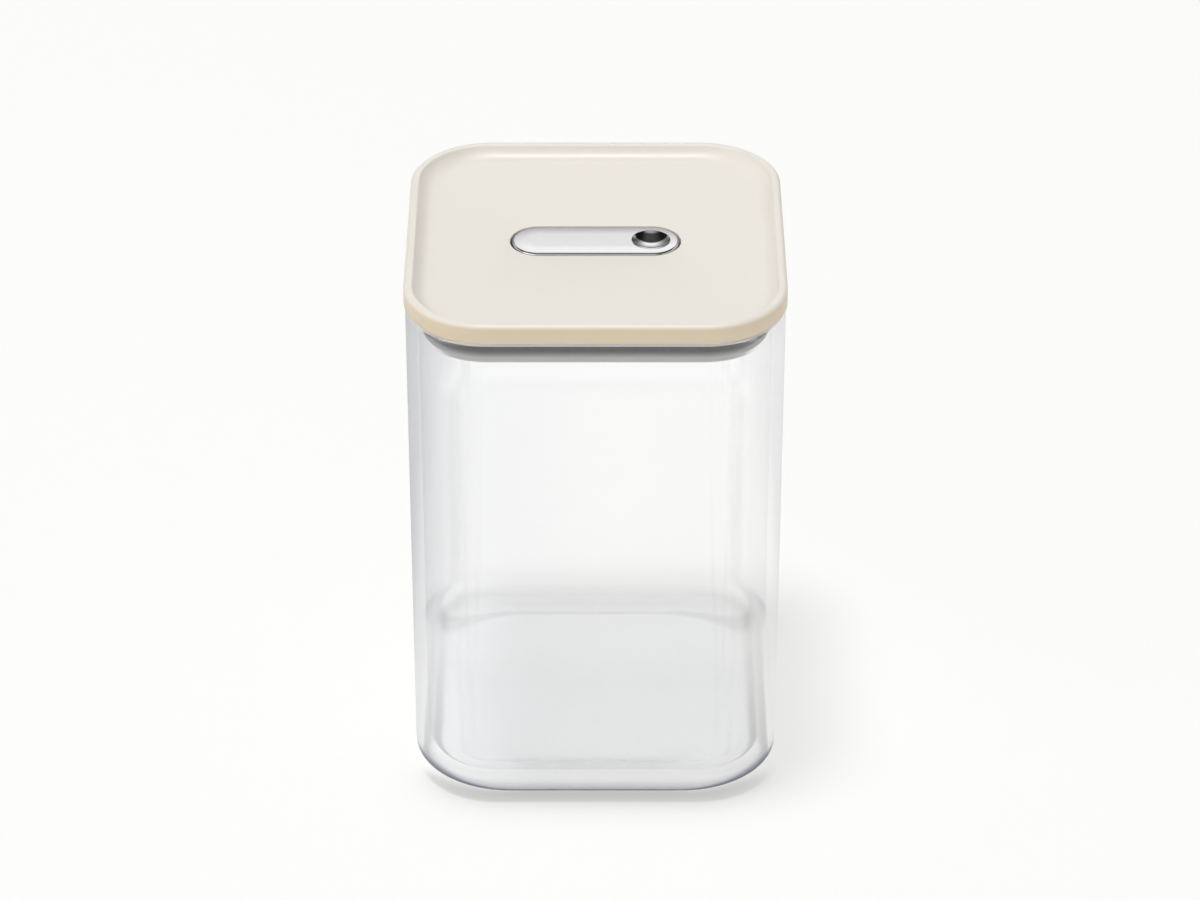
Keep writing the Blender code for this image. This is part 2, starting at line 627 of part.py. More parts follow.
def lever(material, frame):
    """Cast lever: pill top with a finger dish, two cam cheeks, eye pocket and finger grip."""
    piece = loft("lever", lever_top(), material)
    piece.parent = frame
    under = LEVER_UNDER - PIN_HEIGHT
    for name, side in (("front", -1), ("back", 1)):
        reach = sorted((side * CHEEK_INNER, side * CHEEK_OUTER))
        cheek = slab(f"cheek_{name}", cam_outline(under + LEVER_CHAMFER), reach[0], reach[1])
        combine(piece, cheek, "UNION")
    bore_reach = CHEEK_OUTER + OVERRUN
    combine(piece, rod_along_y("pin_bore", PIN_RADIUS + GAP, -bore_reach, bore_reach),
            "DIFFERENCE")
    pocket_x = BAR_LENGTH_X / 2 + LEVER_GAP
    pocket = block("eye_pocket", (-pocket_x, -CHEEK_INNER, under - OVERRUN),
                   (pocket_x, CHEEK_INNER, LEVER_TOP - PIN_HEIGHT - EYE_POCKET_ROOF))
    combine(piece, pocket, "DIFFERENCE")
    grip = pill_rings(GRIP_LENGTH, GRIP_WIDTH, [(0, under - OVERRUN), (0, under),
                                                (GRIP_DEPTH, under + GRIP_DEPTH)])
    combine(piece, moved(loft("grip", grip), -GRIP_PLACE), "DIFFERENCE")
    combine(piece, dish_cutter(), "DIFFERENCE")


def hinge_pin(material, frame):
    """Steel pin through both cheeks and the draw bar's eye."""
    rod = rod_along_y("hinge_pin", PIN_RADIUS, -CHEEK_OUTER, CHEEK_OUTER, PIN_CHAMFER, material)
    moved(rod, z=PIN_HEIGHT)
    rod.parent = frame


def clear_scene():
    """Remove every object that is in the scene."""
    for item in list(bpy.data.objects):
        bpy.data.objects.remove(item, do_unlink=True)


def build():
    """Make every piece of the jar."""
    clear_scene()
    glass = finish("clear_glass", (0.96, 0.98, 0.98), 0.0, clear=1.0)
    cream = finish("cream_plastic", (0.82, 0.76, 0.68), 0.35)
    silicone = finish("grey_silicone", (0.35, 0.35, 0.34), 0.5)
    chrome = finish("polished_chrome", (0.9, 0.9, 0.9), 0.06, metallic=1.0)
    steel = finish("stainless_steel", (0.6, 0.6, 0.6), 0.3, metallic=1.0)
    acetal = finish("white_acetal", (0.8, 0.8, 0.78), 0.4)
    lid_frame = joint_frame("lid_lift_axis")
    plate_frame = joint_frame("plate_drop_axis")
    lever_frame = joint_frame("lever_tilt_axis", PIN_HEIGHT)
    plate_frame.parent = lid_frame
    lever_frame.parent = plate_frame
    glass_jar(glass)
    lid_cover(cream, lid_frame)
    lid_body(cream, lid_frame)
    gasket(silicone, lid_frame)
    cam_pads(steel, lid_frame)
    lever_bumper(silicone, lid_frame)
    return_spring(steel, lid_frame)
    body_screws(steel, lid_frame)
    pressure_plate(cream, plate_frame)
    draw_bar(acetal, plate_frame)
    hinge_pin(steel, plate_frame)
    plate_fixings(steel, silicone, cream, plate_frame)
    lever(chrome, lever_frame)


build()
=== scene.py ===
import json
from math import cos, pi, radians, sin

import bmesh
import bpy
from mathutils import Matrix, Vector


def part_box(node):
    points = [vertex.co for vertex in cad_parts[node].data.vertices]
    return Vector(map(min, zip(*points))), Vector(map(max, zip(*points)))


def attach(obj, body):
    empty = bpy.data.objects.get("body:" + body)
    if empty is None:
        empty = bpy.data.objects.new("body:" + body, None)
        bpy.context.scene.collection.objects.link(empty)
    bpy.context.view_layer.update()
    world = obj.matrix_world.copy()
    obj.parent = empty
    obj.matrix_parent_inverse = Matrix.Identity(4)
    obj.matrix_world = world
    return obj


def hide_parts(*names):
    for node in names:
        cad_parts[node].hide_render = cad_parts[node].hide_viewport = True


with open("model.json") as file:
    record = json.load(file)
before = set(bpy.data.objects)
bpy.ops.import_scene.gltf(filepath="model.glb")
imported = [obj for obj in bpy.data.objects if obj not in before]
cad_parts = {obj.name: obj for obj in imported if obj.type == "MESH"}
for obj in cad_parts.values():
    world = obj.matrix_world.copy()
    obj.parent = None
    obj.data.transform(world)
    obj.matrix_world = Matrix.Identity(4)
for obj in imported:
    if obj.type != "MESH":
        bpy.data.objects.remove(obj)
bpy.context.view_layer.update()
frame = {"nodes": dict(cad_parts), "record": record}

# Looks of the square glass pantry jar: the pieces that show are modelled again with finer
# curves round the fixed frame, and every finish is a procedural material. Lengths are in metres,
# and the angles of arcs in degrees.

# Segments on corners, rounded edges, shafts, the finger dish, the crown and the push-up, and
# the sharpest edge that is still shaded smooth
CORNER_SEGMENTS = 24
ROUND_SEGMENTS = 10
SHAFT_SEGMENTS = 48
DISH_SEGMENTS = 128
DISH_RINGS = 96
CROWN_STEPS = 8
PUSH_UP_STEPS = 10
SMOOTH_ANGLE = radians(50)

# Small distances that pieces share: welding, steps between flush loops, cuts and clearances
MERGE = 0.00001
DRAFT = 0.00005
OVERRUN = 0.0010
GAP = 0.0003

# Corner of a pill as a share of its half width, short of all of it so that no two points meet
PILL_CORNER_SHARE = 0.999

# Places read from the frame
JAR_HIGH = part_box("glass_jar")[1]
LID_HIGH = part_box("lid_cover")[1]
GASKET_LOW, GASKET_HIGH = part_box("gasket")
PLATE_LOW, PLATE_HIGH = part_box("pressure_plate")
LEVER_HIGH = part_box("lever")[1]
PIN_LOW, PIN_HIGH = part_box("hinge_pin")
PIN_HEIGHT = (PIN_LOW.z + PIN_HIGH.z) / 2
PLATE_HIGH_RIM = GASKET_LOW.z - GAP

# Glass jar
JAR_HALF = JAR_HIGH.x
JAR_TOP = JAR_HIGH.z
JAR_CORNER = 0.0280
JAR_WALL = 0.0045
FLOOR_HEIGHT = 0.0070
FLOOR_ROUND = 0.0100
BASE_ROUND = 0.0115
FOOT_CORNER = 0.0330
FOOT_WIDTH = 0.0045
PUSH_UP_HEIGHT = 0.0012
PUSH_UP_SLOPE = 0.0160

# Lid cover
LID_HALF = LID_HIGH.x
LID_TOP = LID_HIGH.z
LID_BASE = JAR_TOP + GAP
LID_CORNER = 0.0285
RIM_ROUND = 0.0016
RIM_FLAT = 0.0016
RIM_INNER_ROUND = 0.0006
TRAY_DEPTH = 0.0040
TRAY_COVE = 0.0052
COVE_SLANT = 25
PANEL_WALL = 0.0014
SKIRT_WALL = 0.0028
SKIRT_CHAMFER = 0.0004
SLOT_ROUND = 0.0003
LEVER_GAP = 0.0007

# Lever: its pill and its finger dish
LEVER_THICKNESS = 0.0034
LEVER_ROUND = 0.0008
LEVER_ROUND_END = 97
LEVER_UNDER_ROUND = 0.0006
LEVER_CROWN = 0.0003
LEVER_CROWN_RUN = 0.0050
LEVER_SOFT_EDGE = 0.00015
LEVER_SOFT_ANGLE = radians(25)
DISH_WIDTH = 0.0136
DISH_DEPTH = 0.0023
DISH_PLACE = 0.0192

# Cam cheeks under the lever, pocket for the eye of the draw bar, and finger grip
CHEEK_INNER = 0.0033
CHEEK_OUTER = 0.0073
CHEEK_HEEL = 0.0080
CHEEK_TOE = 0.0060
CHEEK_ROUND = 0.0008
CAM_HEIGHT = 0.0052
CAM_SLOPE = radians(20)
CAM_RATE = 0.00573
PIN_BORE = 0.00155
EYE_POCKET_HALF = 0.0034
EYE_POCKET_ROOF = 0.0011
GRIP_LENGTH = 0.0130
GRIP_WIDTH = 0.0110
GRIP_DEPTH = 0.0014
GRIP_SLANT_SHARE = 0.3
GRIP_PLACE = -0.0188

# Gasket
GASKET_WIDTH = 0.0069
GASKET_BAND = 0.0046
LIP_OUTER = 0.0009
LIP_INNER = 0.0015
LIP_REACH = 0.0018
LIP_ROUND = 0.0003
LIP_OUTER_END = 260
GASKET_ROUND = 0.0006

# Pressure plate
PLATE_THICKNESS = 0.0028
PLATE_ROUND = 0.0006
PLATE_LOW_ROUND = 0.0016
PLATE_CORNER = 0.0217
NEST_HALF_LENGTH = 0.0315
NEST_HALF_WIDTH = 0.0123
BOSS_WALL = 0.0018
BOSS_FLOOR = 0.0018
BOSS_ROUND = 0.0010
HUB_RADIUS = 0.0052
HUB_ROOF = 0.0016
SCREW_HEAD_BORE = 0.0031
SCREW_BORE = 0.0017

# Screw posts of the cover
POST_RADIUS = 0.0035
POST_LENGTH = 0.0040
POST_PLACE = 0.0410
PILOT_LENGTH = 0.0039

# Camera, from the outlines in the photograph
CAMERA_DISTANCE = 1.5665
CAMERA_ELEVATION = radians(32.3)
CAMERA_AIM = 0.1082
CAMERA_LENS = 132.2
CAMERA_SENSOR = 36.0
CAMERA_SHIFT = 0.0037

# Lamps: the point that they all face, then the place, size and power of each
LAMP_AIM = (0, 0, 0.1)
KEY = ((-0.63, -0.30, 6.1), (1.1, 1.1), 138)
FILL = ((-7.6, -6.6, 6.8), (10.0, 10.0), 291)
SHEEN = ((0, -0.60, 6.0), (1.6, 1.6), 150)

# Limits on the bounces of light, high enough for the layers of glass
BOUNCES = 32
GLASS_BOUNCES = 24

# Room that matt surfaces see, and the room behind the glass, which dims from low at the back
# to high at the front
ROOM_LIGHT = 0.565
THROUGH_ROOM = (0.5, 1.3, 0.99, 0.80)

# Room that polished surfaces show: share of the half turn from the back horizon over the top
# to the front horizon, and brightness; how it dims to the left and to the right; and the least
# light of what lies far to either side, up to a height
POLISHED_ROOM = ((0.001, 0.42), (0.10, 0.52), (0.165, 0.86), (0.195, 1.0), (0.238, 1.0),
                 (0.264, 0.06), (0.49, 0.06), (0.53, 0.38), (0.999, 0.50))
POLISHED_LEFT = (-0.50, -0.04, 0.18, 1.0)
POLISHED_RIGHT = (0.15, 0.50, 1.0, 0.12)
POLISHED_SIDE = (0.52, 0.70, 0.0, 0.60)
POLISHED_SIDE_HEIGHT = (0.52, 0.64, 1.0, 0.0)

# Floor
FLOOR_SIZE = 8
FLOOR_COLOUR = (0.952, 0.952, 0.937, 1)
FLOOR_GLOW = (0.985, 0.985, 0.973, 1)
FLOOR_GLOW_SHARE = 0.42

# Glass: its colour, its bend, and the long waves of its surface as scale, depth and strength
GLASS_COLOUR = (0.99, 0.995, 1.0, 1)
GLASS_IOR = 1.5
GLASS_WAVE_SCALE = 18.0
GLASS_WAVE_DEPTH = 0.00004
GLASS_WAVE_STRENGTH = 0.5

# Share of the view that passes straight: low, at the mouth, and where the glass stands at a slant
GLASS_STRAIGHT_SHARE = 0.84
GLASS_MOUTH_SHARE = 0.0
GLASS_MOUTH_RUN = (JAR_TOP - 0.026, JAR_TOP - 0.010)
GLASS_SLANT_SHARE = (0.17, 0.36, 0.0, 0.95)

# Tint of that share. A run is the stretch between two places, slants or parts of a normal over
# which a tint comes or goes
GLASS_STANDING_RUN = (0.88, 0.97)
GLASS_OUTER_RUN = (JAR_CORNER - JAR_WALL * 0.6, JAR_CORNER - JAR_WALL * 0.4)
GLASS_BASE_TINT = (0.984, 0.989, 1.0)
GLASS_SLANT_TINT = (0.74, 0.745, 0.765)
GLASS_SLANT_RUN = (0.16, 1.0)
GLASS_INSIDE_SHARE = 0.25
GLASS_LOW_SHARE = 0.45
GLASS_LOW_RUN = (0.030, 0.100)
# Painted light and shade: the slant tint is weaker on the right of the glass, and the walls are
# tinted darker on the left
GLASS_RIGHT_LIT_SHARE = 0.45
GLASS_RIGHT_LOW_LIT_SHARE = 0.05
GLASS_RIGHT_LIT_RUN = (-0.013, 0.052)
GLASS_LEFT_SHADE = (0.981, 0.982, 0.987)
GLASS_LEFT_SHADE_RUN = (-0.055, 0.010)

# Rounds of the glass bend the view away, so they look darker than its flats
GLASS_ROUND_SHARE = 0.14
GLASS_FRONT_ROUND = 0.4
GLASS_SIDE_ROUND = 4.6
GLASS_ROUND_TINT = (0.50, 0.51, 0.53)
GLASS_ROUND_START = (0.50, 0.76)
GLASS_ROUND_END = (0.80, 0.96)
GLASS_ROUND_SIDE_LIFT = 0.06
GLASS_SIDE_RUN = (0.2, 0.6)
GLASS_FRONT_RUN = (-0.055, 0.030)

# Lowest edge of the glass, painted darker as shade where it meets the floor: darkest at a slant and
# weaker at the back
GLASS_FOOT_SHADE = (0.43, 0.445, 0.49)
GLASS_FOOT_SLANT_RUN = (0.12, 0.75)
GLASS_FOOT_HEIGHT = (0.010, 0.014)
GLASS_FOOT_LEAST = 0.15
GLASS_FOOT_LEAST_HEIGHT = (0.012, 0.019)
GLASS_FOOT_BACK = 0.5
GLASS_FOOT_BACK_RUN = (0.030, 0.045)
GLASS_FOOT_FRONT_RUN = (0.05, 0.40)

# The round of the thick base bends light away, which darkens the floor round the foot
GLASS_RING_LOW = 0.0013
GLASS_RING_HIGH = 0.0085
GLASS_RING_SHADE = (0.04, 0.04, 0.04)
GLASS_RING_FRONT_RUN = (0.15, 0.45)
GLASS_RING_BACK = 0.15
GLASS_RING_BACK_RUN = (-0.045, 0.020)
GLASS_LIT = (1.03, 1.03, 1.03)

# Painted highlight on the fire-polished rim of the glass: a pale matt band, its height, fade, share
# and colour
GLASS_RIM_HEIGHT = 0.0009
GLASS_RIM_FADE = 0.0003
GLASS_RIM_HIGHLIGHT_SHARE = 0.7
GLASS_RIM_HIGHLIGHT = (0.88, 0.88, 0.87, 1)

# Colours that the noise of each finish runs between: cream plastic on upright faces, painted darker
# and warmer as shade, and on flat faces, silicone on the lip and on the band, which is painted dark
# as shade, then chrome, steel and acetal
CREAM_SHADED_UPRIGHT = ((0.735, 0.612, 0.450), (0.760, 0.640, 0.474))
CREAM_FLAT = ((0.805, 0.765, 0.697), (0.825, 0.787, 0.722))
SILICONE_PALE = ((0.37, 0.37, 0.365), (0.41, 0.41, 0.405))
SILICONE_SHADED = ((0.034, 0.034, 0.033), (0.046, 0.046, 0.045))
CHROME_COLOURS = ((0.87, 0.87, 0.88), (0.91, 0.91, 0.915))
STEEL_COLOURS = ((0.55, 0.55, 0.54), (0.63, 0.63, 0.62))
ACETAL_COLOURS = ((0.76, 0.76, 0.74), (0.80, 0.80, 0.785))

# Roughness of each finish, from its least to its most, over one stretch of its noise
ROUGHNESS_RUN = (0.3, 0.7)
CREAM_ROUGHNESS = (0.34, 0.42)
SILICONE_ROUGHNESS = (0.38, 0.50)
CHROME_ROUGHNESS = (0.04, 0.07)
STEEL_ROUGHNESS = (0.22, 0.36)
ACETAL_ROUGHNESS = (0.35, 0.45)

# Scale of the noise in each finish, and of its grain where that is finer; depth and strength of
# the grain
CREAM_CLOUD_SCALE = 60.0
CREAM_GRAIN_SCALE = 6000.0
CREAM_GRAIN_DEPTH = 0.000012
CREAM_GRAIN_STRENGTH = 0.4
SILICONE_SCALE = 300.0
SILICONE_GRAIN_DEPTH = 0.00002
CHROME_SCALE = 400.0
STEEL_SCALE = 1500.0
ACETAL_CLOUD_SCALE = 200.0
ACETAL_GRAIN_SCALE = 4000.0
FINE_GRAIN_DEPTH = 0.000008
GRAIN_STRENGTH = 0.3

# Where the cream is painted darker and warmer as shade: by the upright part of the normal, and
# outside the rim
CREAM_SHADE_RUN = (0.1, 0.95)
CREAM_INSIDE_SHARE = 0.15
CREAM_OUTSIDE_RUN = (LID_CORNER - RIM_ROUND, LID_CORNER - 0.0002)

# Where the silicone turns from its pale lip to its band, painted dark as shade under the lid, and
# its gloss
SILICONE_SHADE_RUN = (GASKET_LOW.z - 0.0004, GASKET_LOW.z + 0.0036)
SILICONE_GLOSS = 0.4


def arc(centre, radii, start, end, steps=ROUND_SEGMENTS):
    """Points on an arc of an ellipse in a profile, from one angle in degrees to another."""
    points = []
    for step in range(steps + 1):
        angle = radians(start + (end - start) * step / steps)
        points.append((centre[0] + radii[0] * cos(angle), centre[1] + radii[1] * sin(angle)))
    return points


def square_outlines(half, corner, profile):
    """Rounded squares along a profile of (inset, height)."""
    return [(half - inset, half - inset, corner - inset, height) for inset, height in profile]


def pill_outlines(half_x, half_y, profile):
    """Pills along a profile of (inset, height)."""
    return [(half_x - inset, half_y - inset, (half_y - inset) * PILL_CORNER_SHARE, height)
            for inset, height in profile]


def add_outline(half_x, half_y, corner, height):
    """A plane at its size and height, its corners rounded, left as a loop of edges."""
    bpy.ops.mesh.primitive_plane_add(size=2, location=(0, 0, height))
    bpy.ops.transform.resize(value=(half_x, half_y, 1))
    bpy.ops.mesh.bevel(offset=corner, segments=CORNER_SEGMENTS, affect="VERTICES",
                       clamp_overlap=False)
    bpy.ops.mesh.delete(type="ONLY_FACE")
    bpy.ops.mesh.select_all(action="DESELECT")


def select_loops(piece, first, last, size):
    """Select the edge loops from one number to another, each of the same size."""
    bpy.ops.mesh.select_all(action="DESELECT")
    shape = bmesh.from_edit_mesh(piece.data)
    shape.verts.ensure_lookup_table()
    for loop in {first, last}:
        for vert in shape.verts[loop * size:(loop + 1) * size]:
            vert.select = True
    shape.select_flush(True)
    bmesh.update_edit_mesh(piece.data)


def skin(name, outlines, ring_shaped=False):
    """Bridge a stack of outlines into one body, capped or closed on itself."""
    bpy.ops.object.select_all(action="DESELECT")
    bpy.ops.mesh.primitive_plane_add(size=2)
    piece = bpy.context.object
    piece.name = name
    bpy.ops.object.mode_set(mode="EDIT")
    bpy.ops.mesh.delete(type="VERT")
    bpy.ops.mesh.select_mode(type="VERT")
    for outline in outlines:
        add_outline(*outline)
    size = 4 * (CORNER_SEGMENTS + 1)
    for loop in range(len(outlines) - 1):
        select_loops(piece, loop, loop + 1, size)
        bpy.ops.mesh.bridge_edge_loops()
    if ring_shaped:
        select_loops(piece, 0, len(outlines) - 1, size)
        bpy.ops.mesh.bridge_edge_loops()
    else:
        for loop in (0, len(outlines) - 1):
            select_loops(piece, loop, loop, size)
            bpy.ops.mesh.edge_face_add()
    bpy.ops.mesh.select_all(action="SELECT")
    bpy.ops.mesh.remove_doubles(threshold=MERGE)
    bpy.ops.mesh.normals_make_consistent(inside=False)
    bpy.ops.object.mode_set(mode="OBJECT")
    bpy.ops.object.shade_smooth_by_angle(angle=SMOOTH_ANGLE)
    return piece


def dress(piece, material, body, slot, *nodes):
    """Give a piece its material and its body, and hide the nodes that it stands for; the slot is
    not used.
    """
    piece.data.materials.clear()
    piece.data.materials.append(material)
    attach(piece, body)
    if nodes:
        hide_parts(*nodes)


def new_material(name):
    """A material's tree and its Principled shader."""
    material = bpy.data.materials.new(name)
    material.use_nodes = True
    return material, material.node_tree, material.node_tree.nodes["Principled BSDF"]


def put(tree, socket, value):
    """Set a socket to a value, or link it to another socket."""
    if isinstance(value, bpy.types.NodeSocket):
        tree.links.new(value, socket)
    else:
        socket.default_value = value


def coordinates(tree, kind):
    """X, Y and Z of a texture coordinate."""
    split = tree.nodes.new("ShaderNodeSeparateXYZ")
    tree.links.new(tree.nodes.new("ShaderNodeTexCoord").outputs[kind], split.inputs["Vector"])
    return split.outputs["X"], split.outputs["Y"], split.outputs["Z"]


def calc(tree, operation, first, second=0.0):
    """A Math node on two values or sockets."""
    node = tree.nodes.new("ShaderNodeMath")
    node.operation = operation
    put(tree, node.inputs[0], first)
    put(tree, node.inputs[1], second)
    return node.outputs["Value"]


def ranged(tree, value, low, high, start=0.0, end=1.0, shape="SMOOTHSTEP"):
    """A value carried from one range to another, and held at its ends."""
    node = tree.nodes.new("ShaderNodeMapRange")
    node.interpolation_type = shape
    put(tree, node.inputs["Value"], value)
    for name, limit in (("From Min", low), ("From Max", high), ("To Min", start), ("To Max", end)):
        put(tree, node.inputs[name], limit)
    return node.outputs["Result"]


def mixed(tree, factor, first, second):
    """A colour between two others."""
    node = tree.nodes.new("ShaderNodeMix")
    node.data_type = "RGBA"
    put(tree, node.inputs["Factor"], factor)
    for name, colour in (("A", first), ("B", second)):
        put(tree, node.inputs[name], (*colour, 1) if isinstance(colour, tuple) else colour)
    return node.outputs["Result"]


def number_mix(tree, factor, first, second):
    """A number between two others."""
    node = tree.nodes.new("ShaderNodeMix")
    put(tree, node.inputs["Factor"], factor)
    put(tree, node.inputs["A"], first)
    put(tree, node.inputs["B"], second)
    return node.outputs["Result"]


def times(tree, first, *others):
    """Product of several values."""
    for other in others:
        first = calc(tree, "MULTIPLY", first, other)
    return first


def noise(tree, scale, detail=2.0):
    """Noise on Object coordinates, so it keeps its real size."""
    place = tree.nodes.new("ShaderNodeTexCoord")
    texture = tree.nodes.new("ShaderNodeTexNoise")
    texture.inputs["Scale"].default_value = scale
    texture.inputs["Detail"].default_value = detail
    tree.links.new(place.outputs["Object"], texture.inputs["Vector"])
    return texture.outputs["Fac"]


def grain(tree, height, depth, strength):
    """Bump of a real depth on the Principled shader's normal."""
    bump = tree.nodes.new("ShaderNodeBump")
    bump.inputs["Distance"].default_value = depth
    bump.inputs["Strength"].default_value = strength
    tree.links.new(height, bump.inputs["Height"])
    tree.links.new(bump.outputs["Normal"], tree.nodes["Principled BSDF"].inputs["Normal"])


def satin(tree, cloud, low, high):
    """Vary the roughness between two values."""
    rough = ranged(tree, cloud, *ROUGHNESS_RUN, low, high, "LINEAR")
    tree.links.new(rough, tree.nodes["Principled BSDF"].inputs["Roughness"])


def corner_reach(tree, place, half, corner):
    """Distance from the corner centres of a rounded square, the same all along its outline."""
    reach = [calc(tree, "MAXIMUM", calc(tree, "SUBTRACT", calc(tree, "ABSOLUTE", value),
                                        half - corner)) for value in place[:2]]
    squares = [calc(tree, "POWER", value, 2.0) for value in reach]
    return calc(tree, "SQRT", calc(tree, "ADD", *squares))


def glass_tint(tree, place, reach, facing, outside):
    """Colour of the view that passes straight: greyer where a wall stands at a slant and in the
    round of the floor, with painted shade along the lowest edge and on the left of the walls, and
    painted light on the right."""
    x, y, z = place
    across, along, up = coordinates(tree, "Normal")
    level = calc(tree, "ABSOLUTE", up)
    standing = ranged(tree, level, *GLASS_STANDING_RUN, 1.0, 0.0)
    outer = ranged(tree, reach, *GLASS_OUTER_RUN)
    # Painted shade and light: the walls are tinted darker on the left, and the slant tint is weaker
    # on the right
    left_shade = mixed(tree, ranged(tree, x, *GLASS_LEFT_SHADE_RUN), GLASS_LEFT_SHADE, (1, 1, 1))
    view = mixed(tree, standing, GLASS_BASE_TINT, left_shade)
    slanted = times(tree, standing, ranged(tree, facing, *GLASS_SLANT_RUN, shape="LINEAR"),
                    ranged(tree, outer, 0.0, 1.0, GLASS_INSIDE_SHARE, 1.0),
                    ranged(tree, z, *GLASS_LOW_RUN, GLASS_LOW_SHARE, 1.0),
                    ranged(tree, x, *GLASS_RIGHT_LIT_RUN, 1.0,
                           ranged(tree, z, *GLASS_LOW_RUN,
                                  GLASS_RIGHT_LOW_LIT_SHARE, GLASS_RIGHT_LIT_SHARE)))
    view = mixed(tree, slanted, view, GLASS_SLANT_TINT)
    sideways = calc(tree, "ABSOLUTE", across)
    level = calc(tree, "ADD", level, times(tree, sideways, GLASS_ROUND_SIDE_LIFT))
    front = ranged(tree, sideways, *GLASS_SIDE_RUN, GLASS_FRONT_ROUND, GLASS_SIDE_ROUND)
    rounded = times(tree, ranged(tree, level, *GLASS_ROUND_START),
                    ranged(tree, level, *GLASS_ROUND_END, 1.0, 0.0),
                    ranged(tree, outer, 0.0, 1.0, GLASS_ROUND_SHARE, 0.0),
                    ranged(tree, y, *GLASS_FRONT_RUN, front, 1.0))
    view = mixed(tree, rounded, view, GLASS_ROUND_TINT)
    # Painted shade along the lowest edge, where the glass meets the floor
    edge = times(tree, ranged(tree, facing, *GLASS_FOOT_SLANT_RUN, shape="LINEAR"),
                 ranged(tree, z, *GLASS_FOOT_HEIGHT, 1.0, 0.0))
    least = ranged(tree, z, *GLASS_FOOT_LEAST_HEIGHT, GLASS_FOOT_LEAST, 0.0)
    foot = times(tree, calc(tree, "MAXIMUM", edge, least), standing, outside,
                 ranged(tree, y, *GLASS_FOOT_BACK_RUN, 1.0, GLASS_FOOT_BACK),
                 ranged(tree, calc(tree, "ABSOLUTE", along), *GLASS_FOOT_FRONT_RUN))
    return mixed(tree, foot, view, GLASS_FOOT_SHADE)


def glass_finish():
    """Clear pressed glass. Part of the view passes straight; lamps shine through it, but for the
    round of the thick base."""
    material, tree, shader = new_material("clear_glass")
    shader.inputs["Base Color"].default_value = GLASS_COLOUR
    shader.inputs["Roughness"].default_value = 0.0
    shader.inputs["IOR"].default_value = GLASS_IOR
    shader.inputs["Transmission Weight"].default_value = 1.0
    waves = noise(tree, GLASS_WAVE_SCALE, detail=1.0)
    grain(tree, waves, GLASS_WAVE_DEPTH, GLASS_WAVE_STRENGTH)
    place = coordinates(tree, "Object")
    z = place[2]
    reach = corner_reach(tree, place, JAR_HALF, JAR_CORNER)
    slant = tree.nodes.new("ShaderNodeLayerWeight")
    slant.inputs["Blend"].default_value = 0.5
    facing = slant.outputs["Facing"]
    path = tree.nodes.new("ShaderNodeLightPath")
    lit = calc(tree, "MAXIMUM", path.outputs["Is Shadow Ray"], path.outputs["Is Diffuse Ray"])
    below = calc(tree, "LESS_THAN", z, FLOOR_HEIGHT - DRAFT)
    outer = calc(tree, "GREATER_THAN", reach, JAR_CORNER - JAR_WALL / 2)
    outside = calc(tree, "MAXIMUM", below, outer)
    foot = calc(tree, "GREATER_THAN", reach, JAR_CORNER - BASE_ROUND + OVERRUN)
    low = calc(tree, "SUBTRACT", GLASS_RING_LOW, times(tree, foot, OVERRUN))
    ring = times(tree, calc(tree, "GREATER_THAN", z, low),
                 calc(tree, "LESS_THAN", z, GLASS_RING_HIGH), outside,
                 ranged(tree, calc(tree, "ABSOLUTE", coordinates(tree, "Normal")[1]),
                        *GLASS_RING_FRONT_RUN),
                 ranged(tree, place[1], *GLASS_RING_BACK_RUN, 1.0, GLASS_RING_BACK))
    light = mixed(tree, ring, GLASS_LIT, GLASS_RING_SHADE)
    through = tree.nodes.new("ShaderNodeBsdfTransparent")
    tree.links.new(mixed(tree, lit, glass_tint(tree, place, reach, facing, outside), light),
                   through.inputs["Color"])
    straight = ranged(tree, z, *GLASS_MOUTH_RUN, GLASS_STRAIGHT_SHARE, GLASS_MOUTH_SHARE)
    straight = calc(tree, "MAXIMUM", straight, ranged(tree, facing, *GLASS_SLANT_SHARE))
    choice = tree.nodes.new("ShaderNodeMixShader")
    tree.links.new(calc(tree, "MAXIMUM", straight, lit), choice.inputs["Fac"])
    tree.links.new(shader.outputs["BSDF"], choice.inputs[1])
    tree.links.new(through.outputs["BSDF"], choice.inputs[2])
    # A pale matt band mixed in at the top of the rim is a painted highlight
    rim_highlight = tree.nodes.new("ShaderNodeBsdfDiffuse")
    rim_highlight.inputs["Color"].default_value = GLASS_RIM_HIGHLIGHT
    rim = tree.nodes.new("ShaderNodeMixShader")
    rim_low = JAR_TOP - GLASS_RIM_HEIGHT
    tree.links.new(ranged(tree, z, rim_low - GLASS_RIM_FADE, rim_low, 0.0, GLASS_RIM_HIGHLIGHT_SHARE),
                   rim.inputs["Fac"])
    tree.links.new(choice.outputs["Shader"], rim.inputs[1])
    tree.links.new(rim_highlight.outputs["BSDF"], rim.inputs[2])
    tree.links.new(rim.outputs["Shader"], tree.nodes["Material Output"].inputs["Surface"])
    return material


